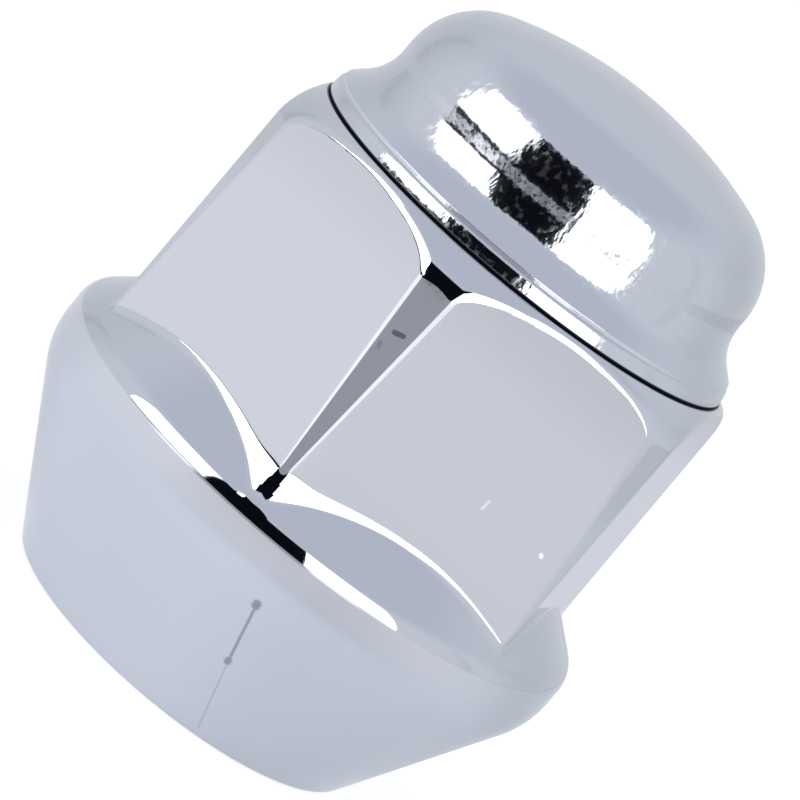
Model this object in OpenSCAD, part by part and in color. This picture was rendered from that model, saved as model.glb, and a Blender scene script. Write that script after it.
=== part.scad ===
// Closed-end wheel nut: a forged hexagon body with a round flange and a conical seat,
// tapped right through, and a pressed steel cap that closes its top.
// Millimetres. The origin is the centre of the small end of the seat, and +Z runs up to the dome.

/* [Thread] */
// Nominal diameter of the thread
thread_d = 12; // [10:0.5:14]
// Pitch of the thread
thread_pitch = 1.5; // [1:0.25:2]
// Depth of the lead-in at the mouth of the thread
lead_in = 1; // [0.4:0.1:1.6]
// Depth of the lead-out under the cap
lead_out = 0.5; // [0.2:0.1:1]

/* [Hexagon] */
// Width across the flats
hex_af = 21; // [20.6:0.1:22]
// Height from the seat's small end to the face that carries the cap
body_h = 22.6; // [20:0.2:26]
// Angle that each narrow corner flat leans inwards
corner_lean = 2.1; // [1.5:0.05:2.8]
// Depth that a corner flat takes off the corner at its foot
corner_cut = 0.07; // [0.04:0.01:0.16]
// Slope of the shoulder round the top face, from the horizontal
shoulder_slope = 30; // [24:1:36]
// Radius that turns the shoulder down into the corners
shoulder_r = 2; // [1.2:0.05:2.2]
// Flat left open round the cap's rim
top_ledge = 0.05; // [0.03:0.01:0.4]

/* [Seat and flange] */
// Included angle of the conical seat
seat_angle = 60; // [56:1:64]
// Radius round the small end of the seat
seat_edge_r = 0.4; // [0.1:0.05:0.8]
// Largest diameter of the flange
flange_d = 25.7; // [25.5:0.1:27]
// Height of the flange's widest ring
flange_z = 8.6; // [8:0.1:9.4]
// Radius that blends the flange into the seat
flange_low_r = 3.8; // [2.4:0.1:4.6]
// Upright land above the flange's widest ring
flange_land = 0.55; // [0.1:0.05:0.7]
// Radius that turns the flange over its top
flange_top_r = 1.5; // [1.2:0.1:2.4]
// Slope of the flange's top where it runs up into the hexagon
flange_slope = 41; // [38:1:50]

/* [Cap] */
// Diameter of the cap's straight wall
cap_d = 17.7; // [17:0.1:18]
// Height of the cap above the body
cap_h = 7.8; // [7.6:0.1:9]
// Thickness of the sheet that the cap is pressed from
cap_wall = 1; // [0.7:0.05:1.2]
// Radius of the slightly domed top
cap_top_r = 19.5; // [18:0.5:30]
// Radius between the domed top and the wall
cap_shoulder_r = 3.4; // [2.4:0.1:3.6]
// Radius of the hollow sweep at the cap's foot
cap_foot_r = 2.4; // [1.8:0.1:2.6]
// Slope of the foot below the sweep, from the horizontal
cap_foot_slope = 42; // [40:1:48]
// How far the rim stands out from the wall
cap_flange_w = 1.4; // [1.35:0.05:1.5]
// Height of the rim's upright edge
cap_rim_h = 0.75; // [0.5:0.05:0.85]
// Radius of the rim's edges
cap_rim_r = 0.15; // [0.05:0.05:0.18]
// Width of the small step on top of the rim
cap_step_w = 0.18; // [0.1:0.02:0.24]
// Height of the small step on top of the rim
cap_step_h = 0.15; // [0.08:0.01:0.2]

/* [Hidden] */

$fn = 96;
// Segments in a quarter turn of an outline's round stretch
arc_steps = 18;
// Overlap that keeps two joined or cut shapes from sharing a face
eps = 0.01;
// Length by which a shape runs on past what it cuts or trims, or into what it joins
run_on = 1;

bore_r = (thread_d - thread_pitch) / 2;
mouth_r = bore_r + lead_in;

hex_r = hex_af / sqrt(3);

flange_r = flange_d / 2;
seat_half = seat_angle / 2;
// Where the seat's straight side meets the flange's lower radius
seat_top = [flange_r - flange_low_r * (1 - cos(seat_half)), flange_z - flange_low_r * sin(seat_half)];
// Where the seat's straight side would meet the bottom plane
seat_small_r = seat_top[0] - seat_top[1] * tan(seat_half);
// Centre of the radius round the seat's small end
seat_edge_c = [seat_small_r + (seat_edge_r * sin(seat_half) - seat_edge_r) / cos(seat_half), seat_edge_r];
// Where the flange's top radius runs into its slope, and where that slope meets a hexagon corner
flange_brow = [flange_r - flange_top_r * (1 - sin(flange_slope)),
               flange_z + flange_land + flange_top_r * cos(flange_slope)];
corner_z = flange_brow[1] + (flange_brow[0] - hex_r) * tan(flange_slope);
// The flange's slope is carried on into the hexagon as far as this radius
flange_core_r = hex_af / 2 - run_on;

// Clearance of the shoulder's radius over a corner flat, so that the two cross cleanly
shoulder_over = 0.04;
cap_rim_out = cap_d / 2 + cap_flange_w;
top_face_r = cap_rim_out + top_ledge;
// Distance of a corner flat from the axis, about where the shoulder starts
shoulder_out = hex_r - corner_cut - (body_h - shoulder_r - corner_z) * tan(corner_lean) + shoulder_over;
shoulder_c_r = shoulder_out - shoulder_r;
shoulder_top_r = shoulder_c_r + shoulder_r * sin(shoulder_slope);
shoulder_top_z = body_h - (shoulder_top_r - top_face_r) * tan(shoulder_slope);
shoulder_c_z = shoulder_top_z - shoulder_r * cos(shoulder_slope);

cap_r = cap_d / 2;
cap_top_z = body_h + cap_h;
// Where the foot's slope ends on the small step
cap_toe = [cap_rim_out - cap_step_w, body_h + cap_rim_h + cap_step_h];
// Where the slope runs into the hollow sweep, and the sweep's centre
cap_bend_r = cap_r + cap_foot_r * (1 - sin(cap_foot_slope));
cap_bend_z = cap_toe[1] + (cap_toe[0] - cap_bend_r) * tan(cap_foot_slope);
cap_foot_c = [cap_r + cap_foot_r, cap_bend_z + cap_foot_r * cos(cap_foot_slope)];
// Centres of the domed top and of the radius beside it
dome_c_z = cap_top_z - cap_top_r;
crown_c_r = cap_r - cap_shoulder_r;
crown_rise = sqrt(pow(cap_top_r - cap_shoulder_r, 2) - pow(crown_c_r, 2));
crown_c = [crown_c_r, dome_c_z + crown_rise];
crown_end = atan2(crown_rise, crown_c_r);
// Inner edge of the cap's flat foot, where the inside of the slope meets the body
cap_in_toe = [cap_toe[0] - cap_wall * sin(cap_foot_slope), cap_toe[1] - cap_wall * cos(cap_foot_slope)];
cap_in_base_r = cap_in_toe[0] + (cap_in_toe[1] - body_h) / tan(cap_foot_slope);

// Points on a round stretch about centre c, from angle a to angle b
function arc(c, r, a, b) =
    let (n = max(2, ceil(abs(b - a) / 90 * arc_steps)))
    [for (i = [0:n]) c + r * [cos(a + (b - a) * i / n), sin(a + (b - a) * i / n)]];

// Outline of the seat and flange, from the axis round to the slope inside the hexagon
function flange_outline() = concat(
    [[0, 0]],
    arc(seat_edge_c, seat_edge_r, -90, -seat_half),
    arc([flange_r - flange_low_r, flange_z], flange_low_r, -seat_half, 0),
    arc([flange_r - flange_top_r, flange_z + flange_land], flange_top_r, 0, 90 - flange_slope),
    [[flange_core_r, flange_brow[1] + (flange_brow[0] - flange_core_r) * tan(flange_slope)],
     [0, flange_brow[1] + (flange_brow[0] - flange_core_r) * tan(flange_slope)]]);

// Outline that trims the hexagon's top, wide open below the shoulder
function shoulder_outline() = concat(
    [[0, flange_z], [hex_r + run_on, flange_z]],
    arc([shoulder_c_r, shoulder_c_z], shoulder_r, 0, 90 - shoulder_slope),
    [[top_face_r, body_h], [0, body_h]]);

// Outside of the cap, from its foot over the rim, up the wall and over the dome
function cap_outline() = concat(
    [[0, body_h]],
    arc([cap_rim_out - cap_rim_r, body_h + cap_rim_r], cap_rim_r, -90, 0),
    arc([cap_rim_out - cap_rim_r, body_h + cap_rim_h - cap_rim_r], cap_rim_r, 0, 90),
    [[cap_toe[0] + eps, body_h + cap_rim_h], cap_toe],
    arc(cap_foot_c, cap_foot_r, 270 - cap_foot_slope, 180),
    arc(crown_c, cap_shoulder_r, 0, crown_end),
    dome_arc(cap_top_r));

// Inside of the cap, one wall thickness in from the outside
function cap_hollow() = concat(
    [[0, body_h - run_on], [cap_in_base_r, body_h - run_on], [cap_in_base_r, body_h]],
    arc(cap_foot_c, cap_foot_r + cap_wall, 270 - cap_foot_slope, 180),
    arc(crown_c, cap_shoulder_r - cap_wall, 0, crown_end),
    dome_arc(cap_top_r - cap_wall));

// The domed top from beside the crown radius to the axis, without its first point
function dome_arc(r) =
    [for (p = arc([0, dome_c_z], r, crown_end, 90)) if (p[0] < r * cos(crown_end) - eps) p];

// Hexagon with its narrow corner flats, which lean in towards the top
module hexagon() {
    difference() {
        translate([0, 0, flange_z])
            cylinder(r = hex_r, h = body_h - flange_z, $fn = 6);
        for (turn = [0:60:300])
            rotate([0, 0, turn])
            translate([hex_r - corner_cut, 0, corner_z])
            rotate([0, -corner_lean, 0])
            translate([0, -hex_r / 2, flange_z - corner_z - run_on])
                cube([hex_r, hex_r, body_h]);
    }
}

// Tapped hole at its thread's inner diameter, with a lead-in below and a lead-out above
module tapped_hole() {
    rotate_extrude()
        polygon([[0, -eps], [mouth_r + eps, -eps], [bore_r, lead_in],
                 [bore_r, body_h - lead_out], [bore_r + lead_out + eps, body_h + eps], [0, body_h + eps]]);
}

// Forged body: seat, flange and hexagon in one piece
module nut_body() {
    color([0.72, 0.75, 0.8])
    difference() {
        union() {
            rotate_extrude() polygon(flange_outline());
            intersection() {
                hexagon();
                rotate_extrude() polygon(shoulder_outline());
            }
        }
        tapped_hole();
    }
}

// Pressed cap, hollow inside, standing face to face on the body's top
module dome_cap() {
    color([0.8, 0.82, 0.87])
    rotate_extrude()
    difference() {
        polygon(cap_outline());
        polygon(cap_hollow());
    }
}

nut_body();
dome_cap();
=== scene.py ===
# %% [markdown]
# A chrome cap nut, closed by a hollow dome. The CAD gives its sizes in metres, and
# this file gives it the rounded edges, the thread and the mirror finish of the real one.
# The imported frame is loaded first, so that every piece below is built where the CAD says.

# %% The frame
import math

import bpy
import numpy as np
from mathutils import Matrix, Vector


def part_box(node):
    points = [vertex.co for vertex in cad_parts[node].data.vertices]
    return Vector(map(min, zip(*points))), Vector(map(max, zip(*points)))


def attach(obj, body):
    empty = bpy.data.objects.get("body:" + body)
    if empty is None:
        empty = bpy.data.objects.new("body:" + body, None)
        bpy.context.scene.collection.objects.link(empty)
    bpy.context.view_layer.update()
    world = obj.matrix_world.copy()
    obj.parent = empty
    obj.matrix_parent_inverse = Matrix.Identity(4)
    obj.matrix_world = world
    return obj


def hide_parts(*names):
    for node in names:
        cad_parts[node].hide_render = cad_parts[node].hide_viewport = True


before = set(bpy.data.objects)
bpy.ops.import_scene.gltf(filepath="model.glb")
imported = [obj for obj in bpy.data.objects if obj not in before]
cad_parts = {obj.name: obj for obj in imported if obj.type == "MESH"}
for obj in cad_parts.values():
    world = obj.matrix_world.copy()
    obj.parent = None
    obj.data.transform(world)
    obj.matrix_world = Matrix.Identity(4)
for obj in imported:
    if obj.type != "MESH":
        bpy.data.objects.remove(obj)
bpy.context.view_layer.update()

MM = 0.001

# %% [markdown]
# The photograph looks at the nut a little from above, with a corner of the hexagon just
# left of the middle, and it is tipped by 39.8 degrees, so that the nut's axis leans right.
# A long lens close to the nut gives the same mild perspective. The nut itself stays upright
# on its seat: only the camera is rolled about its line of sight.

# %% The camera
CAMERA_TURN = math.radians(-52.4)
CAMERA_RISE = math.radians(11.45)
CAMERA_ROLL = math.radians(39.8)
CAMERA_AWAY = 200 * MM
AIM = Vector((0, 0, 15 * MM))
SENSOR_WIDTH, LENS = 36, 218.7
FRAME_SHIFT = (-0.0103, -0.0190)


def direction(turn, rise):
    """The unit vector at an angle round the axis and an angle above the floor"""
    level_part = math.cos(rise)
    return Vector((level_part * math.cos(turn), level_part * math.sin(turn), math.sin(rise)))


to_camera = direction(CAMERA_TURN, CAMERA_RISE)
level = Vector((-math.sin(CAMERA_TURN), math.cos(CAMERA_TURN), 0))
upright = to_camera.cross(level)
across = math.cos(CAMERA_ROLL) * level + math.sin(CAMERA_ROLL) * upright
upward = to_camera.cross(across)

bpy.ops.object.camera_add()
camera = bpy.context.object
camera.name = "camera"
camera.matrix_world = Matrix.Translation(AIM + CAMERA_AWAY * to_camera) @ Matrix(
    (across, upward, to_camera)).transposed().to_4x4()
camera.data.sensor_width = SENSOR_WIDTH
camera.data.lens = LENS
camera.data.shift_x, camera.data.shift_y = FRAME_SHIFT
bpy.context.scene.camera = camera
print("Camera at", [round(v / MM, 1) for v in camera.location], "mm")

# %% [markdown]
# A mirror shows its surroundings, so the surroundings are part of the finish. The nut
# stands on a pale table, with a tall soft light on each side of the camera, a dark gap
# behind the camera, and a grey-blue ceiling. The lights are area lamps, which a mirror sees
# as plain white sheets. The table is lit as usual, and its material adds what a white
# background needs where the camera or a mirror looks at it, so the shadow stays.

# %% Node helpers
def new_material(name):
    """A material with an empty node tree"""
    material = bpy.data.materials.new(name)
    material.use_nodes = True
    material.node_tree.nodes.clear()
    return material, material.node_tree


def node(tree, kind, inputs=None, **settings):
    """One node, with its settings, and its inputs set to values or linked to sockets"""
    made = tree.nodes.new(kind)
    for name, value in settings.items():
        setattr(made, name, value)
    for key, value in (inputs or {}).items():
        if isinstance(value, bpy.types.NodeSocket):
            tree.links.new(value, made.inputs[key])
        else:
            made.inputs[key].default_value = value
    return made


def maths(tree, operation, first, second=0.0, third=0.0):
    """The output of one Math node"""
    made = node(tree, "ShaderNodeMath", {0: first, 1: second, 2: third}, operation=operation)
    return made.outputs[0]


def times(tree, first, second):
    """Two numbers multiplied"""
    return maths(tree, "MULTIPLY", first, second)


def vector_maths(tree, operation, first, second=(0, 0, 0)):
    """The outputs of one Vector Math node: Vector, or Value for a length or a distance"""
    return node(tree, "ShaderNodeVectorMath", {0: first, 1: second}, operation=operation).outputs


def scaled(tree, vector, factor):
    """A vector or a colour times a number"""
    made = node(tree, "ShaderNodeVectorMath", {0: vector, "Scale": factor}, operation="SCALE")
    return made.outputs[0]


def between(tree, first, second, share):
    """A mix of two colours"""
    made = node(tree, "ShaderNodeMix", {0: share, 6: first, 7: second}, data_type="RGBA")
    return made.outputs[2]


def soft_step(tree, value, low, high):
    """0 below low, 1 above high and a smooth rise between them"""
    return node(tree, "ShaderNodeMapRange", {0: value, 1: low, 2: high},
                interpolation_type="SMOOTHSTEP", clamp=True).outputs[0]


# %% The table
WHITE = (1, 1, 1, 1)
BOARD, DIM_BOARD, GLOW = (0.8, 0.8, 0.8, 1), (0.35, 0.35, 0.355, 1), 0.76
TABLE_SIZE, TABLE_DROP = 6, 0.02 * MM

bpy.ops.object.select_all(action="DESELECT")
bpy.ops.mesh.primitive_plane_add(size=TABLE_SIZE, location=(0, 0, -TABLE_DROP))
table = bpy.context.object
table.name = "table"

pale, tree = new_material("pale_table")
path = node(tree, "ShaderNodeLightPath").outputs
board = node(tree, "ShaderNodeBsdfDiffuse", {"Color": BOARD})
dim_board = node(tree, "ShaderNodeBsdfDiffuse", {"Color": DIM_BOARD})
glow = node(tree, "ShaderNodeEmission", {"Color": WHITE, "Strength": GLOW})
lifted = node(tree, "ShaderNodeAddShader", {0: dim_board.outputs[0], 1: glow.outputs[0]})
print("Table:", round(table.dimensions.x, 1), "m wide")

# %% [markdown]
# What the nut mirrors of the table has painted shade and light, set by its place: a painted
# shadow in an aisle that runs from the camera, painted light on both sides of that aisle,
# painted shade in front, to the right, behind and far off, and a bluer painted shade close to
# the nut. It ends 215 mm away, where the dark room begins. Places on it are told by their
# distance from the nut and by their turn from the camera in degrees, left below zero.

# %% Regions of painted shade and light on the table
AISLE_MIDDLE = -12
spot = node(tree, "ShaderNodeTexCoord").outputs["Object"]
spot = node(tree, "ShaderNodeMapping", {"Vector": spot, "Rotation": (0, 0, -CAMERA_TURN)})
axes = node(tree, "ShaderNodeSeparateXYZ", {0: spot.outputs[0]}).outputs
table_turn = maths(tree, "DEGREES", maths(tree, "ARCTAN2", axes["Y"], axes["X"]))
table_away = vector_maths(tree, "LENGTH", spot.outputs[0])["Value"]

# Painted shadow: the table is dark in an aisle that runs away from the camera, from 45 to 70 mm out
painted_aisle_shadow = times(tree, soft_step(tree, table_turn, -38, -34), soft_step(tree, table_turn, 14, 10))
painted_aisle_shadow = times(tree, painted_aisle_shadow, soft_step(tree, table_away, 0.045, 0.07))
# Painted shade on the table behind the nut, weaker on its left
turned_left = times(tree, table_turn, -1.0)
painted_back_shade = maths(tree, "MAXIMUM", times(tree, soft_step(tree, turned_left, 80, 125), 0.6),
             soft_step(tree, turned_left, 140, 178))
painted_back_shade = maths(tree, "MAXIMUM", painted_back_shade, soft_step(tree, table_turn, 80, 125))
# Painted shade on the table to the right of the nut, where it isn't already shaded behind
right = times(tree, soft_step(tree, table_turn, -10, 30), maths(tree, "SUBTRACT", 1.0, painted_back_shade))
# Painted shade in front of the nut, from 20 to 70 mm out
painted_front_shade = times(tree, soft_step(tree, table_turn, -55, -15), soft_step(tree, table_turn, 70, 20))
painted_front_shade = times(tree, painted_front_shade, soft_step(tree, table_away, 0.02, 0.036))
painted_front_shade = times(tree, painted_front_shade, soft_step(tree, table_away, 0.07, 0.045))
# Painted shade far off, beyond about 120 mm
painted_far_shade = soft_step(tree, table_away, 0.105, 0.135)
# Painted light on the table on both sides of the aisle, from 50 to 70 mm out and beyond
painted_side_light = maths(tree, "ABSOLUTE", maths(tree, "SUBTRACT", table_turn, AISLE_MIDDLE))
painted_side_light = times(tree, soft_step(tree, painted_side_light, 25, 28), soft_step(tree, painted_side_light, 50, 42))
painted_side_light = times(tree, painted_side_light, soft_step(tree, table_away, 0.05, 0.07))
print("Nodes for the regions:", len(tree.nodes))

# %% Tones of the table's painted shade and light
# Strengths of the painted shade to the right, behind, in front and far off
RIGHT_SHADE, BACK_SHADE, FRONT_SHADE, FAR_SHADE = 0.09, 0.23, 0.12, 0.09
# The open table's tone, and the strength of the painted light beside the aisle
OPEN_TONE, SIDE_LIGHT_GAIN = 1.02, 0.5
# The near tint is a darker, bluer painted shade close to the nut
NEAR_SHADE_TINT, FAR_TINT = (0.575, 0.588, 0.615, 1), (0.605, 0.597, 0.60, 1)

# All the painted shade together, taken off the open tone
shade = maths(tree, "ADD", times(tree, right, RIGHT_SHADE), times(tree, painted_back_shade, BACK_SHADE))
shade = maths(tree, "ADD", shade, times(tree, painted_front_shade, FRONT_SHADE))
shade = maths(tree, "ADD", shade, times(tree, painted_far_shade, FAR_SHADE))
tone = maths(tree, "SUBTRACT", OPEN_TONE, shade)
tone = maths(tree, "ADD", tone, times(tree, painted_side_light, SIDE_LIGHT_GAIN))
# Painted shade near the nut: closer than 25 to 60 mm, and behind it, the table takes the near tint
outside_near_shade = times(tree, soft_step(tree, table_away, 0.025, 0.06), maths(tree, "SUBTRACT", 1.0, painted_back_shade))
tone = scaled(tree, between(tree, NEAR_SHADE_TINT, FAR_TINT, outside_near_shade), tone)
print("Nodes with the tones:", len(tree.nodes))

# %% The table's two looks
# The colour of the painted shadow in the aisle, and the glow of the mirrored table
AISLE_SHADOW_TONE, MIRRORED_GLOW = (0.27, 0.27, 0.28, 1), 0.65


def either(tree, share, first, second):
    """The first shader, or the second where the share is 1"""
    return node(tree, "ShaderNodeMixShader", {0: share, 1: first.outputs[0], 2: second.outputs[0]})


# The mirrored table takes its painted tones, darkened to the painted shadow in the aisle
lit = between(tree, tone, AISLE_SHADOW_TONE, painted_aisle_shadow)
lit_board = node(tree, "ShaderNodeBsdfDiffuse", {"Color": lit})
lit_glow = node(tree, "ShaderNodeEmission", {"Color": lit, "Strength": MIRRORED_GLOW})
mirrored = node(tree, "ShaderNodeAddShader", {0: lit_board.outputs[0], 1: lit_glow.outputs[0]})
beyond = node(tree, "ShaderNodeBsdfTransparent", {"Color": WHITE})
mirrored = either(tree, soft_step(tree, table_away, 0.213, 0.217), mirrored, beyond)
plain = either(tree, path["Is Camera Ray"], board, lifted)
mixed = either(tree, path["Is Glossy Ray"], plain, mirrored)
from_below = node(tree, "ShaderNodeNewGeometry").outputs["Backfacing"]
mixed = either(tree, from_below, mixed, beyond)
node(tree, "ShaderNodeOutputMaterial", {"Surface": mixed.outputs[0]})
table.data.materials.append(pale)
print("Table nodes:", len(tree.nodes))


# %% The soft lights
LIGHT_AWAY, LIGHT_LEVEL = 0.6, 2.2


def soft_light(name, facing, sides, rises):
    """An upright sheet of light, between two turns and two rises in degrees from the nut"""
    out = direction(CAMERA_TURN + math.radians(facing), 0)
    left, right = [LIGHT_AWAY * math.tan(math.radians(turn - facing)) for turn in sides]
    low, high = [LIGHT_AWAY * math.tan(math.radians(rise)) for rise in rises]
    along = Vector((-out.y, out.x, 0))
    place = AIM + LIGHT_AWAY * out + (left + right) / 2 * along + Vector((0, 0, (low + high) / 2))
    bpy.ops.object.light_add(type="AREA", location=place)
    lamp = bpy.context.object
    lamp.name = name
    lamp.rotation_euler = out.to_track_quat("Z", "Y").to_euler()
    lamp.data.shape = "RECTANGLE"
    lamp.data.size = right - left
    lamp.data.size_y = high - low
    lamp.data.energy = LIGHT_LEVEL * math.pi * lamp.data.size * lamp.data.size_y
    lamp.visible_camera = False
    print(name, "W:", round(lamp.data.energy, 2))


soft_light("left_light", facing=-45, sides=(-79, -35), rises=(-0.8, 44))
soft_light("right_light", facing=18, sides=(12, 54), rises=(-12, 45))

# %% [markdown]
# The room is a soft grey-blue, paler low down, with a dark gap behind the camera that the
# two lights stand beside. The gap gives the crisp black patches on dome, corner and flange,
# without which chrome looks like grey paint. Two faint seams in the walls and a slightly
# duller wall behind the nut keep its sides from looking flat.

# %% Directions in the room
room = bpy.data.worlds.new("room")
bpy.context.scene.world = room
room.use_nodes = True
tree = room.node_tree
tree.nodes.clear()
look = node(tree, "ShaderNodeTexCoord").outputs["Generated"]
turned = node(tree, "ShaderNodeMapping", {"Vector": look, "Rotation": (0, 0, -CAMERA_TURN)})
axes = node(tree, "ShaderNodeSeparateXYZ", {0: turned.outputs[0]}).outputs
turn = maths(tree, "DEGREES", maths(tree, "ARCTAN2", axes["Y"], axes["X"]))
rise = maths(tree, "DEGREES", maths(tree, "ARCSINE", axes["Z"]))


def gap_mask(left, right, top, soft=1):
    """1 inside a part of the walls, given by its sides and top in degrees"""
    inside = times(tree, soft_step(tree, turn, left - soft, left + soft),
                   soft_step(tree, turn, right + soft, right - soft))
    return times(tree, inside, soft_step(tree, rise, top + soft, top - soft))


print("Nodes for directions:", len(tree.nodes))

# %% The room
LOW_WALLS, CEILING = (0.80, 0.83, 0.89, 1), (0.66, 0.70, 0.79, 1)
DARK_GAP = (0.004, 0.005, 0.008, 1)
BEHIND_DIMMER, SEAM_DIMMER, SEAM_SOFT = 0.15, 0.13, 5

walls = between(tree, LOW_WALLS, CEILING, soft_step(tree, rise, 30, 60))
behind = times(tree, soft_step(tree, maths(tree, "ABSOLUTE", turn), 95, 130),
               soft_step(tree, rise, 50, 20))
seams = maths(tree, "MAXIMUM", gap_mask(-134, -129, 30, SEAM_SOFT), gap_mask(88, 92, 30, SEAM_SOFT))
dimmer = maths(tree, "SUBTRACT", 1.0, maths(tree, "ADD", times(tree, behind, BEHIND_DIMMER),
                                            times(tree, seams, SEAM_DIMMER)))
walls = scaled(tree, walls, dimmer)
gap = maths(tree, "MAXIMUM", gap_mask(-35, 13, 46), gap_mask(-79, 13, 0))
darkened = between(tree, walls, DARK_GAP, gap)
path = node(tree, "ShaderNodeLightPath").outputs
studio = node(tree, "ShaderNodeBackground", {"Color": darkened, "Strength": 1.0})
white = node(tree, "ShaderNodeBackground", {"Color": WHITE, "Strength": 1.0})
shown = either(tree, path["Is Camera Ray"], studio, white)
node(tree, "ShaderNodeOutputWorld", {"Surface": shown.outputs[0]})
bpy.context.scene.view_settings.view_transform = "Standard"
print("Room nodes:", len(tree.nodes))

# %% [markdown]
# The body's sizes, in millimetres as on its drawing. What the CAD box shows is read from the
# frame. The rest repeats the drawing, except that the corner flats and the round over the
# flange follow the photograph more closely, by a few tenths of a millimetre at the most.

# %% Sizes of the forged body
BODY_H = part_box("nut_body")[1][2] / MM
FLANGE_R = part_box("nut_body")[1][0] / MM
RIM_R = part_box("dome_cap")[1][0] / MM
CAP_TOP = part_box("dome_cap")[1][2] / MM

SIXTH = math.pi / 3
COS_30, TAN_30 = math.cos(math.radians(30)), math.tan(math.radians(30))
FLAT = 21 / 2
CORNER = FLAT / COS_30
CORNER_CUT, CORNER_LEAN = 0.05, math.radians(2.2)
FLANGE_Z, FLANGE_LAND, FLANGE_SLOPE = 8.6, 0.74, math.radians(49)
FLANGE_LOW_R, FLANGE_TOP_R = 3.8, 1.1
SEAT_SLOPE, SEAT_SMALL_R, SEAT_EDGE_R = math.radians(30), 8.475, 0.4
SHOULDER_R, SHOULDER_SLOPE, TOP_FACE_R = 2.0, math.radians(60), RIM_R + 0.05
SHOULDER_OVER, SHOULDER_LOW_END = 0.04, math.radians(7)
BROW_R = FLANGE_R - FLANGE_TOP_R * (1 - math.cos(FLANGE_SLOPE))
BROW_Z = FLANGE_Z + FLANGE_LAND + FLANGE_TOP_R * math.sin(FLANGE_SLOPE)
CORNER_Z = BROW_Z + (BROW_R - CORNER) / math.tan(FLANGE_SLOPE)
TOP_EDGE_R, FULL_CORNER = 0.2, -SIXTH
print("Body:", round(BODY_H, 2), "high, flange", round(2 * FLANGE_R, 2), "across")


# %% [markdown]
# The outside of the body is one forged skin: a turned seat and flange, six flats, six
# narrow leaning corner flats and a turned shoulder, with a round wherever two of them meet.
# Bevels could make those rounds, but three of different size run together at each corner,
# where a bevel breaks up, and a mirror finish shows every crease. So each face is written as
# a rule that gives a point's distance from it and the way it faces, and the rounds are
# worked out from those distances. A rolled grid is then pressed onto the skin that results.

# %% The faces of the skin
def to_corner(points):
    """Points turned to the nearest corner of the hexagon, and the turn that was taken off"""
    turn = np.round(np.arctan2(points[:, 1], points[:, 0]) / SIXTH) * SIXTH
    c, s = np.cos(turn), np.sin(turn)
    return np.stack([points[:, 0] * c + points[:, 1] * s, points[:, 1] * c - points[:, 0] * s,
                     points[:, 2]], axis=1), turn


def turned_back(facing, turn):
    """Directions given beside the corner, turned back to their places round the nut"""
    c, s = np.cos(turn), np.sin(turn)
    return np.stack([facing[:, 0] * c - facing[:, 1] * s, facing[:, 0] * s + facing[:, 1] * c,
                     facing[:, 2]], axis=1)


def flat_side(points):
    """The six wrench flats"""
    near, turn = to_corner(points)
    side = np.where(near[:, 1] < 0, -0.5, 0.5)
    away = near[:, 0] * COS_30 + near[:, 1] * side - FLAT
    facing = np.stack([np.full(len(near), COS_30), side, 0 * side], axis=1)
    return away, turned_back(facing, turn)


def corner_flat(points):
    """The narrow flats on the corners, which lean in towards the top"""
    near, turn = to_corner(points)
    c, s = math.cos(CORNER_LEAN), math.sin(CORNER_LEAN)
    away = (near[:, 0] - CORNER + CORNER_CUT) * c + (near[:, 2] - CORNER_Z) * s
    return away, turned_back(np.tile([c, 0.0, s], (len(near), 1)), turn)


def turned_face(points, centre_r, centre_z, radius, low, high):
    """A turned round about a ring, run on straight beyond the angles low and high"""
    ring = np.hypot(points[:, 0], points[:, 1])
    out, up = ring - centre_r, points[:, 2] - centre_z
    angle = np.clip(np.arctan2(up, out), low, high)
    away = out * np.cos(angle) + up * np.sin(angle) - radius
    level_part = np.cos(angle) / ring
    return away, np.stack([points[:, 0] * level_part, points[:, 1] * level_part, np.sin(angle)],
                          axis=1)


def level_face(points, height, side):
    """A flat face at a height that looks up, side 1, or down, side -1"""
    return side * (points[:, 2] - height), np.tile([0.0, 0.0, float(side)], (len(points), 1))


# %% The rounds between them
EDGE_R, EDGE_GROWTH, ARC_R, FOOT_R = 0.28, 0.06, 0.47, 0.5
PLAIN_FOOT, FULL_FOOT = 0.1, 1.0


def rounded_edge(one, two, radius):
    """Two faces that meet on an outside edge, with a round between them"""
    (d1, n1), (d2, n2) = one, two
    lean = np.sum(n1 * n2, axis=1)
    a, b = d1 + radius, d2 + radius
    spread = np.maximum(1 - lean ** 2, 1e-9)
    reach = ((a - lean * b) / spread)[:, None] * n1 + ((b - lean * a) / spread)[:, None] * n2
    length = np.linalg.norm(reach, axis=1)
    inside = (a > lean * b) & (b > lean * a) & (spread > 1e-6)
    away = np.where(inside, length - radius, np.maximum(d1, d2))
    plain = np.where((d1 > d2)[:, None], n1, n2)
    facing = np.where(inside[:, None], reach / np.maximum(length, 1e-9)[:, None], plain)
    return away, facing


def hollow_edge(one, two, radius):
    """Two faces that meet in an inside corner, with a hollow round between them"""
    away, facing = rounded_edge((-one[0], -one[1]), (-two[0], -two[1]), radius)
    return -away, -facing


def edge_round(height):
    """Radius beside a corner flat, which grows towards the top"""
    return EDGE_R + EDGE_GROWTH * np.maximum(height - CORNER_Z, 0)


def flare(from_corner, gain, width):
    """What a radius gains at a corner, fading over a width beside it"""
    return gain * np.exp(-(from_corner / width) ** 2)


def arc_round(from_corner):
    """Radius of the round along a flat's upper arc, larger towards the corner"""
    return ARC_R + flare(from_corner, gain=0.53, width=2.6)


def foot_round(from_corner, fullness):
    """Radius of the hollow round at a flat's foot, larger towards a corner that was left full"""
    return FOOT_R + fullness * (flare(from_corner, gain=0.9, width=3.4)
                                + flare(from_corner, gain=1.1, width=1.1))


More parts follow.
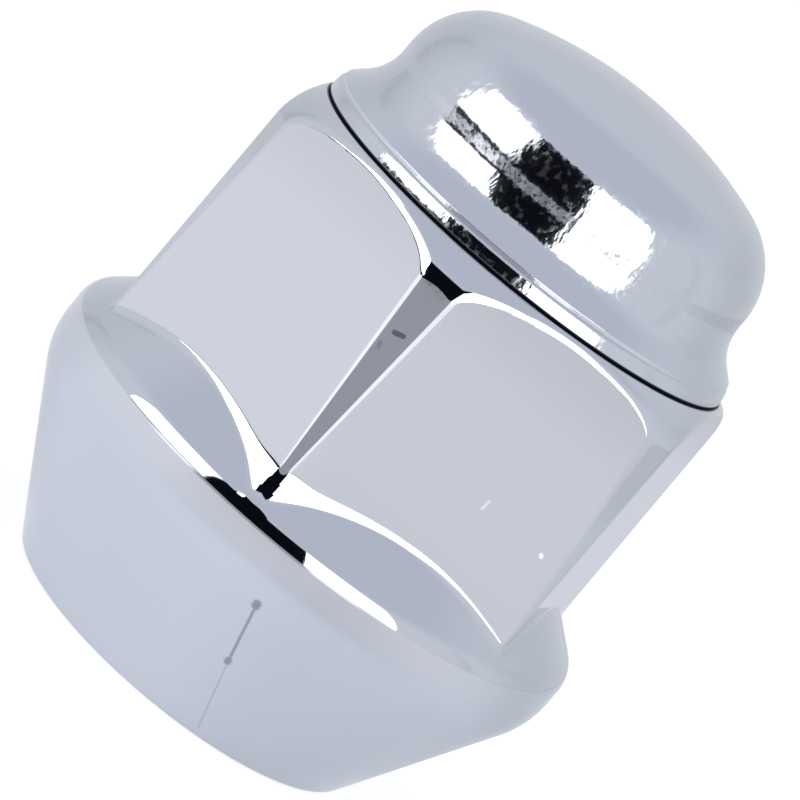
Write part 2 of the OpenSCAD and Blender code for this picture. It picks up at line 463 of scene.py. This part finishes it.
def fullness_at(points):
    """1 at the corner whose foot was left full, falling to a little at its neighbours"""
    apart = np.arctan2(points[:, 1], points[:, 0]) - FULL_CORNER
    apart = np.abs((apart + math.pi) % (2 * math.pi) - math.pi)
    near = (1 + np.cos(np.minimum(3 * apart, math.pi))) / 2
    return PLAIN_FOOT + (FULL_FOOT - PLAIN_FOOT) * near


# %% The whole skin
shoulder_out = (CORNER - CORNER_CUT - (BODY_H - SHOULDER_R - CORNER_Z) * math.tan(CORNER_LEAN)
                + SHOULDER_OVER)
shoulder_c_r = shoulder_out - SHOULDER_R
shoulder_top_r = shoulder_c_r + SHOULDER_R * math.cos(SHOULDER_SLOPE)
shoulder_top_z = BODY_H - (shoulder_top_r - TOP_FACE_R) / math.tan(SHOULDER_SLOPE)
shoulder_c_z = shoulder_top_z - SHOULDER_R * math.sin(SHOULDER_SLOPE)


def shoulder(points):
    """The turned shoulder above the flats, which opens wider below them"""
    return turned_face(points, shoulder_c_r, shoulder_c_z, SHOULDER_R, SHOULDER_LOW_END,
                       SHOULDER_SLOPE)


def seat(points):
    """The cone that seats in the wheel, and its round up to the flange's widest ring"""
    cone = turned_face(points, FLANGE_R - FLANGE_LOW_R, FLANGE_Z, FLANGE_LOW_R, -SEAT_SLOPE, 0)
    return rounded_edge(cone, level_face(points, 0, -1), SEAT_EDGE_R)


def flange_wall(points):
    """The upright face round the flange"""
    return turned_face(points, FLANGE_R, FLANGE_Z, 0, 0, 0)


def flange_slope(points):
    """The slope of the flange's top, up into the hexagon"""
    return turned_face(points, BROW_R, BROW_Z, 0, FLANGE_SLOPE, FLANGE_SLOPE)


def skin(points):
    """Distance from the body's outside, and the way it faces there"""
    from_corner = np.abs(to_corner(points)[0][:, 1])
    low = seat(points)
    wrench = rounded_edge(flat_side(points), corner_flat(points), edge_round(points[:, 2]))
    wrench = rounded_edge(wrench, shoulder(points), arc_round(from_corner))
    wrench = rounded_edge(wrench, level_face(points, BODY_H, 1), TOP_EDGE_R)
    both = hollow_edge(wrench, flange_slope(points), foot_round(from_corner, fullness_at(points)))
    both = rounded_edge(both, flange_wall(points), FLANGE_TOP_R)
    above = points[:, 2] > FLANGE_Z + FLANGE_LAND / 2
    return np.where(above, both[0], low[0]), np.where(above[:, None], both[1], low[1])


def facing_of(points, step=0.002):
    """The way the finished skin faces, from how the distance changes round each point"""
    found = []
    for axis in np.eye(3) * step:
        found.append(skin(points + axis)[0] - skin(points - axis)[0])
    found = np.stack(found, axis=1)
    return found / np.linalg.norm(found, axis=1)[:, None]


print("Shoulder centre:", round(shoulder_c_r, 3), round(shoulder_c_z, 3))

# %% [markdown]
# The grid's lines follow the nut's own edges. Its columns crowd beside the edges of the
# corner flats, and its rows crowd beside the arcs where the flats end, because a round that
# is narrow needs lines close together. So a row is a fixed step along the outline of the
# nut, from the seat's foot to the top face, and it rises and falls with the arcs.

# %% Columns up the sharp hexagon
CORNER_SHARES = [0, 0.33, 0.66]
BESIDE_EDGE = [1.25, 0.6]
FLAT_STEPS, FLAT_CROWDING = 18, 1.6
HALF = len(CORNER_SHARES) + 2 * len(BESIDE_EDGE) + FLAT_STEPS
COLUMNS = 12 * HALF
HALVINGS = 40
pick = np.arange(HALF + 1)


def sharp_section(heights):
    """Ring distance and angle from the corner, of every column of a half side, by height"""
    out = CORNER - CORNER_CUT - (heights - CORNER_Z) * math.tan(CORNER_LEAN)
    edge_reach = edge_round(heights) * math.tan(math.radians(15))
    half_width = 2 * (FLAT - out * COS_30)
    places = [(out, half_width * share) for share in CORNER_SHARES]
    for share in BESIDE_EDGE:
        places.append((out, half_width - np.minimum(share * edge_reach, 0.24 * share * half_width)))
    flat_half = CORNER / 2 - half_width / COS_30
    first = BESIDE_EDGE[0] * edge_reach
    along_flat = [0 * flat_half] + [share * edge_reach for share in reversed(BESIDE_EDGE)]
    for step in range(1, FLAT_STEPS + 1):
        along_flat.append(first + (flat_half - first) * (step / FLAT_STEPS) ** FLAT_CROWDING)
    places += [(out - along * 0.5, half_width + along * COS_30) for along in along_flat]
    ring = np.stack([np.hypot(u, v) for u, v in places], axis=1)
    angle = np.stack([np.arctan2(v, u) for u, v in places], axis=1)
    return ring, angle


def crossing(face, low, high):
    """Height between two others at which every column of the hexagon crosses a turned face"""
    low, high = np.full(HALF + 1, low), np.full(HALF + 1, high)
    for _ in range(HALVINGS):
        mid = (low + high) / 2
        ring = sharp_section(mid)[0][pick, pick]
        outside = face(np.stack([ring, 0 * ring, mid], axis=1))[0] > 0
        low = np.where(outside, low, mid)
        high = np.where(outside, mid, high)
    return (low + high) / 2


MID_FLAT = 15.0
foot_arc = crossing(flange_slope, FLANGE_Z, MID_FLAT)
top_arc = np.minimum(crossing(shoulder, MID_FLAT, BODY_H + 0.5), BODY_H)
print("Columns:", COLUMNS)
print("Foot arc:", foot_arc[[0, -1]].round(2), "top arc:", top_arc[[0, -1]].round(2))


# %% [markdown]
# The rows come next: plain circles over the seat and the flange, then rows that follow the
# foot arcs and the top arcs. One corner of this nut was left fuller at its foot than the
# rest, so its rows reach wider, and there are two sets of them.

# %% Rows round the seat and the flange
INNER_FOOT_R, INNER_TOP_R = 7.0, 9.0
SEAT_SHARES = [0.33, 0.66, 1, 1.3]
CONE_FROM, CONE_ROWS, LOW_ROUND_ROWS, TOP_ROUND_ROWS = 0.8, 15, 15, 20


def ring_row(ring, height):
    """A row that is a plain circle: the same ring distance and height in every column"""
    angle = sharp_section(np.full(HALF + 1, CORNER_Z))[1][pick, pick]
    return np.full(HALF + 1, float(ring)), angle, np.full(HALF + 1, float(height))


edge_steps = [SEAT_EDGE_R * TAN_30 * share for share in SEAT_SHARES]
turned_rows = [ring_row(INNER_FOOT_R, 0)]
for step in reversed(edge_steps):
    turned_rows.append(ring_row(SEAT_SMALL_R - step, 0))
turned_rows.append(ring_row(SEAT_SMALL_R, 0))
seat_length = (FLANGE_Z - FLANGE_LOW_R * math.sin(SEAT_SLOPE)) / math.cos(SEAT_SLOPE)
for along in edge_steps + list(np.linspace(CONE_FROM, seat_length, CONE_ROWS)):
    turned_rows.append(ring_row(SEAT_SMALL_R + along * math.sin(SEAT_SLOPE),
                                along * math.cos(SEAT_SLOPE)))
for angle in np.linspace(-SEAT_SLOPE, 0, LOW_ROUND_ROWS)[1:]:
    turned_rows.append(ring_row(FLANGE_R - FLANGE_LOW_R + FLANGE_LOW_R * math.cos(angle),
                                FLANGE_Z + FLANGE_LOW_R * math.sin(angle)))
for angle in np.linspace(0, FLANGE_SLOPE, TOP_ROUND_ROWS):
    turned_rows.append(ring_row(FLANGE_R - FLANGE_TOP_R + FLANGE_TOP_R * math.cos(angle),
                                FLANGE_Z + FLANGE_LAND + FLANGE_TOP_R * math.sin(angle)))
print("Turned rows:", len(turned_rows))


# %% Rows up the hexagon
BESIDE = [0.12, 0.25, 0.4, 0.55, 0.7, 0.85, 1, 1.25]
FOOT_REACH, ARC_REACH = 0.45, 0.7
FLAT_ROWS, SHOULDER_ROWS = 15, 19
UNDER_RIM = RIM_R - 0.1


def wall_row(heights):
    """A row on the sharp hexagon, at its own height in each column"""
    ring, angle = sharp_section(heights)
    return ring[pick, pick], angle[pick, pick], heights


def slope_rows(foot_reach):
    """Rows up the flange's top, from its brow to where it meets the hexagon"""
    ring, angle, _ = wall_row(foot_arc)
    length = np.hypot(BROW_R - ring, foot_arc - BROW_Z)
    reach = np.maximum(length - BESIDE[-1] * foot_reach, 0.3 * length)
    down = [1 - share * reach / length for share in (0.25, 0.5, 0.75)]
    down += [share * np.minimum(foot_reach, 0.55 * length) / length for share in reversed(BESIDE)]
    return [(ring + (BROW_R - ring) * share, angle, foot_arc + (BROW_Z - foot_arc) * share)
            for share in down]


def shoulder_rows():
    """Rows from the top arcs over the shoulder to just under the cap's rim"""
    found = []
    top_ring, top_angle, _ = wall_row(top_arc)
    for share in np.linspace(0, 1, SHOULDER_ROWS)[1:]:
        ring = top_ring + (UNDER_RIM - top_ring) * share
        rise = np.sqrt(np.maximum(SHOULDER_R ** 2 - (ring - shoulder_c_r) ** 2, 0))
        on_cone = BODY_H - (ring - TOP_FACE_R) / math.tan(SHOULDER_SLOPE)
        height = np.where(ring > shoulder_top_r, shoulder_c_z + rise, on_cone)
        found.append((ring, top_angle, np.minimum(height, BODY_H)))
    return found


def hexagon_rows(fullness):
    """The rows from the flange's brow to the top face, beside a corner of a given fullness"""
    ring, angle, _ = wall_row(foot_arc)
    from_corner = ring * np.sin(angle)
    foot_reach = FOOT_REACH * foot_round(from_corner, fullness)
    arc_reach = ARC_REACH * arc_round(from_corner)
    heights = [foot_arc] + [foot_arc + share * foot_reach for share in BESIDE]
    low_end, high_end = heights[-1], top_arc - BESIDE[-1] * arc_reach
    heights += [low_end + (high_end - low_end) * share
                for share in np.linspace(0, 1, FLAT_ROWS)[1:-1]]
    heights += [top_arc - share * arc_reach for share in reversed(BESIDE)] + [top_arc]
    return (slope_rows(foot_reach) + [wall_row(height) for height in heights] + shoulder_rows()
            + [ring_row(INNER_TOP_R, BODY_H)])


row_sets = [turned_rows + hexagon_rows(fullness) for fullness in (PLAIN_FOOT, FULL_FOOT)]
ROWS = len(row_sets[0]) - 1
print("Rows:", ROWS)

# %% [markdown]
# The flat grid is rolled up along these rows and columns, and every point is then moved
# along the skin's own direction until it lies on the skin. Both ends are closed afterwards,
# so that the forging is one solid that the tap can cut.

# %% Rolled grid
PRESSES = 25
bpy.ops.object.select_all(action="DESELECT")
bpy.ops.mesh.primitive_grid_add(x_subdivisions=COLUMNS, y_subdivisions=ROWS, size=1)
body = bpy.context.object
body.name = "forged_body"
flat_grid = np.zeros(len(body.data.vertices) * 3)
body.data.vertices.foreach_get("co", flat_grid)
flat_grid = flat_grid.reshape(-1, 3)
column = np.round((flat_grid[:, 0] + 0.5) * COLUMNS).astype(int)
row = np.round((flat_grid[:, 1] + 0.5) * ROWS).astype(int)

side, step = np.divmod(column, 2 * HALF)
mirrored = step > HALF
half_column = np.where(mirrored, 2 * HALF - step, step)
row_set = ((side + mirrored) % 6 == 5).astype(int)
rings, angles, heights = [np.stack([np.stack(part) for part in parts])[row_set, row, half_column]
                          for parts in zip(*[list(zip(*rows)) for rows in row_sets])]
turns = side * SIXTH + np.where(mirrored, SIXTH - angles, angles)
points = np.stack([rings * np.cos(turns), rings * np.sin(turns), heights], axis=1)
for _ in range(PRESSES):
    away, facing = skin(points)
    points = points - away[:, None] * facing
print("Largest distance left from the skin, mm:", np.abs(skin(points)[0]).max())
body.data.vertices.foreach_set("co", (points * MM).ravel())
body.data.update()

# %% Closing the skin
SKIN_MERGE = 0.0001 * MM
bpy.ops.object.mode_set(mode="EDIT")
bpy.ops.mesh.select_all(action="SELECT")
bpy.ops.mesh.remove_doubles(threshold=SKIN_MERGE)
bpy.ops.mesh.fill_holes(sides=0)
bpy.ops.mesh.select_all(action="SELECT")
bpy.ops.mesh.normals_make_consistent(inside=False)
bpy.ops.object.mode_set(mode="OBJECT")
print("Body skin:", len(body.data.polygons), "faces")

# %% [markdown]
# The hole is drilled, its two ends are chamfered, and a tap cuts the thread, an M12 by
# 1.5 mm right-hand one. The tap is one zigzag line beside the axis that the Screw modifier
# carries once round while it climbs one pitch, so each turn runs into the next. Two cuts
# leave it flat-ended and closed, and booleans take it and the chamfers out of the body.
# A real tap works in the same order, and the crossings come out as sharp as they are there.

# %% Drawing an outline
def drawn(name, outline):
    """An object whose edges follow an outline, in the plane through the axis"""
    bpy.ops.object.select_all(action="DESELECT")
    bpy.ops.mesh.primitive_plane_add(size=2 * MM)
    made = bpy.context.object
    made.name = name
    bpy.ops.object.mode_set(mode="EDIT")
    bpy.ops.mesh.select_all(action="SELECT")
    bpy.ops.mesh.merge(type="CENTER")
    spot = Vector((outline[0][0] * MM, 0, outline[0][1] * MM))
    bpy.ops.transform.translate(value=spot)
    for ring, height in outline[1:]:
        goal = Vector((ring * MM, 0, height * MM))
        bpy.ops.mesh.extrude_vertices_move(TRANSFORM_OT_translate={"value": goal - spot})
        spot = goal
    bpy.ops.object.mode_set(mode="OBJECT")
    return made


def close_up(threshold):
    """Merges what coincides in the mesh being edited, and turns its faces outwards"""
    bpy.ops.mesh.select_all(action="SELECT")
    bpy.ops.mesh.remove_doubles(threshold=threshold)
    bpy.ops.mesh.normals_make_consistent(inside=False)


# %% The tap
PITCH, MAJOR_R, BORE_R = 1.5, 6.0, 5.25
FLANK = (MAJOR_R - BORE_R) * TAN_30
ROOT = PITCH / 4
TAP_TURNS, TURNS_BELOW, TURN_STEPS = 20, 2, 120
TAP_PAST, TAP_MERGE = 1, 0.0005 * MM

zigzag = []
for turn_index in range(TAP_TURNS):
    base_z = (turn_index - TURNS_BELOW) * PITCH
    zigzag += [(BORE_R, base_z), (BORE_R, base_z + ROOT), (MAJOR_R, base_z + ROOT + FLANK),
               (MAJOR_R, base_z + PITCH - FLANK)]
tap = drawn("tap", zigzag)
bpy.ops.object.modifier_add(type="SCREW")
screw = tap.modifiers[-1]
screw.angle, screw.screw_offset, screw.iterations = 2 * math.pi, PITCH * MM, 1
screw.steps = screw.render_steps = TURN_STEPS
screw.use_merge_vertices = False
bpy.ops.object.modifier_apply(modifier=screw.name)
bpy.ops.object.mode_set(mode="EDIT")
close_up(TAP_MERGE)
bpy.ops.mesh.bisect(plane_co=(0, 0, -TAP_PAST * MM), plane_no=(0, 0, 1), use_fill=True,
                    clear_inner=True)
bpy.ops.mesh.select_all(action="SELECT")
bpy.ops.mesh.bisect(plane_co=(0, 0, (BODY_H + TAP_PAST) * MM), plane_no=(0, 0, 1), use_fill=True,
                    clear_outer=True)
close_up(TAP_MERGE)
bpy.ops.object.mode_set(mode="OBJECT")
print("Tap:", len(tap.data.polygons), "faces, height", round(tap.dimensions.z / MM, 2))


# %% Cutting the hole
LEAD_IN, LEAD_OUT, CONE_PAST, CONE_TIP_R = 1.0, 0.5, 0.5, 4.5


def chamfer_cutter(name, lead, end_z, way):
    """A 45 degree cone that widens the hole at one end, its tip up, way 1, or down, way -1"""
    wide_r = BORE_R + lead + CONE_PAST
    depth = wide_r - CONE_TIP_R
    low_r, high_r = (wide_r, CONE_TIP_R) if way == 1 else (CONE_TIP_R, wide_r)
    middle_z = end_z + way * (depth / 2 - CONE_PAST)
    bpy.ops.object.select_all(action="DESELECT")
    bpy.ops.mesh.primitive_cone_add(vertices=TURN_STEPS, depth=depth * MM, radius1=low_r * MM,
                                    radius2=high_r * MM, location=(0, 0, middle_z * MM))
    bpy.context.object.name = name
    return bpy.context.object


for cutter in (tap, chamfer_cutter("mouth_cone", LEAD_IN, 0, 1),
               chamfer_cutter("top_cone", LEAD_OUT, BODY_H, -1)):
    bpy.ops.object.select_all(action="DESELECT")
    bpy.context.view_layer.objects.active = body
    bpy.ops.object.modifier_add(type="BOOLEAN")
    cut = body.modifiers[-1]
    cut.operation, cut.solver, cut.object = "DIFFERENCE", "EXACT", cutter
    bpy.ops.object.modifier_apply(modifier=cut.name)
    print("After the", cutter.name, len(body.data.polygons), "faces")
    bpy.data.objects.remove(cutter)

# %% [markdown]
# The cap is pressed from sheet: a shallow dome, a round into a short upright wall, a hollow
# sweep that spreads into the foot, and a rim with a small step, which stands on the body's
# top face. It is the same all the way round, so its outline is drawn once and spun.

# %% Outline of the cap
CAP_R, CAP_TOP_R, CAP_SHOULDER_R, CAP_WALL = 8.85, 19.5, 3.4, 1.0
CAP_FOOT_R, CAP_FOOT_SLOPE = 2.4, 42
RIM_H, STEP_W, STEP_H = 0.75, 0.18, 0.15
RIM_LOW_R, RIM_TOP_R, RIM_TOP_IN, RIM_LEAN, TOE_R = 0.15, 0.25, 0.05, 8, 0.03
FOOT_INNER_R = 8.0


def arc(centre, radius, start, end, steps):
    """Points on a round about a centre, between two angles in degrees"""
    angles = np.radians(np.linspace(start, end, steps + 1))
    return [(centre[0] + radius * math.cos(a), centre[1] + radius * math.sin(a)) for a in angles]


toe = (RIM_R - STEP_W, BODY_H + RIM_H + STEP_H)
bend_r = CAP_R + CAP_FOOT_R * (1 - math.sin(math.radians(CAP_FOOT_SLOPE)))
bend_z = toe[1] + (toe[0] - bend_r) * math.tan(math.radians(CAP_FOOT_SLOPE))
foot_c = (CAP_R + CAP_FOOT_R, bend_z + CAP_FOOT_R * math.cos(math.radians(CAP_FOOT_SLOPE)))
dome_c = (0, CAP_TOP - CAP_TOP_R)
crown_r = CAP_R - CAP_SHOULDER_R
crown_c = (crown_r, dome_c[1] + math.sqrt((CAP_TOP_R - CAP_SHOULDER_R) ** 2 - crown_r ** 2))
crown_end = math.degrees(math.atan2(crown_c[1] - dome_c[1], crown_r))

outside = [(FOOT_INNER_R, BODY_H), (RIM_R - RIM_LOW_R - 0.02, BODY_H)]
outside += arc((RIM_R - RIM_LOW_R, BODY_H + RIM_LOW_R), RIM_LOW_R, -90, 4, 8)
outside += arc((RIM_R - RIM_TOP_R - RIM_TOP_IN, BODY_H + RIM_H - RIM_TOP_R), RIM_TOP_R,
               RIM_LEAN, 64, 10)
outside += arc((toe[0] - TOE_R, toe[1] - TOE_R), TOE_R, -10, 48, 5)
outside += arc(foot_c, CAP_FOOT_R, 270 - CAP_FOOT_SLOPE, 180, 16)
outside += arc(crown_c, CAP_SHOULDER_R, 0, crown_end, 26)
outside += arc(dome_c, CAP_TOP_R, crown_end, 90, 22)[1:]
inside = arc(dome_c, CAP_TOP_R - CAP_WALL, 90, crown_end, 12)
inside += arc(crown_c, CAP_SHOULDER_R - CAP_WALL, crown_end, 0, 12)[1:]
inside += arc(foot_c, CAP_FOOT_R + CAP_WALL, 180, 270 - CAP_FOOT_SLOPE, 12)
print("Outline points:", len(outside), len(inside))

# %% Spinning the cap
CAP_STEPS, CAP_MERGE = 180, 0.002 * MM
cap = drawn("pressed_cap", outside + inside + [outside[0]])
bpy.ops.object.mode_set(mode="EDIT")
bpy.ops.mesh.select_all(action="SELECT")
bpy.ops.mesh.spin(steps=CAP_STEPS, angle=2 * math.pi, center=(0, 0, 0), axis=(0, 0, 1))
close_up(CAP_MERGE)
bpy.ops.object.mode_set(mode="OBJECT")
bpy.ops.object.shade_smooth_by_angle(angle=math.radians(40))
print("Cap:", len(cap.data.polygons), "faces")

# %% [markdown]
# Both pieces are plated with bright chrome over nickel, so they share one finish. The forging
# is polished flat before plating. The pressed cap keeps a fine unevenness, which frays the
# edges of what it mirrors, and small hazy flecks, which show as grey where it mirrors the
# dark gap. So it gets a slight bump of that grain, and a rougher finish on the flecks. The
# thread is plated thinly and stays duller. The joint under the rim gets painted shade, a dark
# colour standing in for the shade in that crevice, and handling has left a scratch on the
# seat, a nick on a corner and two specks on a flat.

# %% Parts of the finish
def in_mm(tree):
    """The place on the piece, in millimetres"""
    return scaled(tree, node(tree, "ShaderNodeTexCoord").outputs["Object"], 1 / MM)


def near_line(tree, spot, start, end, reach):
    """1 on a line between two places and 0 farther from it than the reach"""
    along = end - start
    from_start = vector_maths(tree, "SUBTRACT", spot, start)["Vector"]
    share = vector_maths(tree, "DOT_PRODUCT", from_start, along / along.length_squared)["Value"]
    share = node(tree, "ShaderNodeClamp", {0: share, 1: 0.0, 2: 1.0}).outputs[0]
    apart = vector_maths(tree, "DISTANCE", from_start, scaled(tree, along, share))["Value"]
    return soft_step(tree, apart, reach, 0.4 * reach)


def grain(tree, spot, size, depth):
    """The bump of a surface that isn't quite even, its grain twice as long upwards, in mm"""
    drawn_up = vector_maths(tree, "MULTIPLY", spot, (1, 1, 0.5))["Vector"]
    noise = node(tree, "ShaderNodeTexNoise", {"Vector": drawn_up, "Scale": 1 / size, "Detail": 2.0})
    return node(tree, "ShaderNodeBump", {"Height": noise.outputs[0], "Distance": depth * MM,
                                         "Strength": 1.0}).outputs[0]


def flecks(tree, spot, size):
    """1 on small scattered flecks and 0 between them"""
    noise = node(tree, "ShaderNodeTexNoise", {"Vector": spot, "Scale": 1 / size, "Detail": 1.0})
    return soft_step(tree, noise.outputs[0], 0.5, 0.68)


# %% [markdown]
# The marks are short lines on the skin. Each has two ends, given by their turn round the nut
# in degrees and their height in millimetres, then its reach and how strongly it shows. A
# line that hardly moves makes a dot.

# %% The marks
SCRATCHES = [((-48.1, 7), (-44.4, 4.05), 0.09, 0.45),
             ((-44.4, 4.05), (-37, 0.45), 0.07, 0.15),
             ((-48.1, 7), (-48, 6.85), 0.25, 0.5),
             ((-44.4, 4.05), (-44.3, 3.9), 0.2, 0.5),
             ((-60.7, 18.6), (-59, 18.7), 0.15, 0.5),
             ((-61.6, 17.95), (-61.3, 17.75), 0.12, 0.2)]
SPECKS = [((-22.1, 14.95), (-21.9, 15.3), 0.11, 0.4),
          ((-5.9, 14.75), (-5.6, 14.7), 0.14, 0.6)]


def place_on_skin(turn, height):
    """The place on the body's skin at a turn in degrees and a height"""
    out = np.array([math.cos(math.radians(turn)), math.sin(math.radians(turn)), 0.0])
    place = FLANGE_R * out[None, :] + [0, 0, height]
    for _ in range(PRESSES):
        away, facing = skin(place)
        place = place - (away / (facing @ out))[:, None] * out
    return Vector(place[0])


def marks(tree, spot, lines):
    """How strongly a place is marked by any of the lines"""
    found = 0.0
    for start, end, reach, strength in lines:
        line = near_line(tree, spot, place_on_skin(*start), place_on_skin(*end), reach)
        found = maths(tree, "MAXIMUM", found, times(tree, line, strength))
    return found


print("Marks:", len(SCRATCHES) + len(SPECKS), "first at",
      [round(v, 2) for v in place_on_skin(*SCRATCHES[0][0])])


# %% Chrome
# The last colour serves both the scratches and the painted shade of the joint
CHROME, THIN_PLATE, SCRATCH_AND_JOINT_SHADE = (0.63, 0.655, 0.70, 1), (0.42, 0.42, 0.43, 1), (0.035, 0.038, 0.05, 1)
THIN_BLUR, MARK_BLUR = 0.22, 0.5
FLECK_SIZE = 0.3


def chrome(name, blur, haze, grain_size, grain_depth, joint_z, joint_side, thin_r):
    """Bright chrome with grain and hazy flecks, painted shade past the joint and dull inside a
    radius
    """
    material, tree = new_material(name)
    spot = in_mm(tree)
    height = node(tree, "ShaderNodeSeparateXYZ", {0: spot}).outputs["Z"]
    level_spot = vector_maths(tree, "MULTIPLY", spot, (1, 1, 0))["Vector"]
    ring = vector_maths(tree, "LENGTH", level_spot)["Value"]
    thin = soft_step(tree, ring, thin_r, thin_r - 0.4)
    # Painted shade: past the joint under the rim the chrome is coloured dark, for the shade in that
    # crevice
    past = times(tree, maths(tree, "SUBTRACT", height, joint_z), joint_side)
    painted_joint_shade = soft_step(tree, past, -0.03, 0.01)
    scratched, pale = marks(tree, spot, SCRATCHES), marks(tree, spot, SPECKS)
    joint_shade_and_scratches = maths(tree, "MAXIMUM", painted_joint_shade, scratched)
    colour = between(tree, CHROME, THIN_PLATE, thin)
    colour = between(tree, colour, SCRATCH_AND_JOINT_SHADE, joint_shade_and_scratches)
    colour = between(tree, colour, WHITE, pale)
    roughness = maths(tree, "MULTIPLY_ADD", flecks(tree, spot, FLECK_SIZE), haze, blur)
    roughness = maths(tree, "MAXIMUM", roughness, times(tree, thin, THIN_BLUR))
    marked = times(tree, maths(tree, "MAXIMUM", joint_shade_and_scratches, pale), MARK_BLUR)
    roughness = maths(tree, "MAXIMUM", roughness, marked)
    shader = node(tree, "ShaderNodeBsdfPrincipled", {
        "Base Color": colour, "Metallic": 1.0, "Roughness": roughness,
        "Normal": grain(tree, spot, grain_size, grain_depth)})
    node(tree, "ShaderNodeOutputMaterial", {"Surface": shader.outputs[0]})
    print(name, "nodes:", len(tree.nodes))
    return material


body.data.materials.append(chrome(
    "body_chrome", blur=0.035, haze=0.0, grain_size=0.5, grain_depth=0.0015,
    joint_z=BODY_H - 0.01, joint_side=1, thin_r=6.6))
cap.data.materials.append(chrome(
    "cap_chrome", blur=0.085, haze=0.11, grain_size=0.3, grain_depth=0.0115,
    joint_z=BODY_H + 0.14, joint_side=-1, thin_r=0.0))

# %% [markdown]
# A mirror shows the smallest error in the way that a surface faces. The rules that shaped the
# skin also tell its exact direction at every point, so those directions are set on its faces.
# The thread, the chamfers and the bottom of the bore keep the directions of their own faces.

# %% Directions of the skin
ON_SKIN = 0.001
bpy.ops.object.select_all(action="DESELECT")
body.select_set(True)
bpy.context.view_layer.objects.active = body
bpy.ops.object.shade_smooth_by_angle(angle=math.radians(35))
corners = np.zeros(len(body.data.loops) * 3)
body.data.corner_normals.foreach_get("vector", corners)
corners = corners.reshape(-1, 3)
spots = np.zeros(len(body.data.vertices) * 3)
body.data.vertices.foreach_get("co", spots)
spots = spots.reshape(-1, 3) / MM
exact = facing_of(spots)
on_skin = np.abs(skin(spots)[0]) < ON_SKIN
which = np.zeros(len(body.data.loops), dtype=int)
body.data.loops.foreach_get("vertex_index", which)
whole = np.zeros(len(which), dtype=bool)
for face in body.data.polygons:
    span = slice(face.loop_start, face.loop_start + face.loop_total)
    whole[span] = on_skin[which[span]].all()
body.data.normals_split_custom_set(np.where(whole[:, None], exact[which], corners))
print("Exact directions set on", int(whole.sum()), "of", len(which), "face corners")

# %% [markdown]
# Both pieces ride the nut's one body, and each takes the place of the CAD shape of the same
# piece.

# %% Riding
for piece, replaced, slot in ((body, "nut_body", "body_chrome"), (cap, "dome_cap", "cap_chrome")):
    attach(piece, "root")
    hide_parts(replaced)
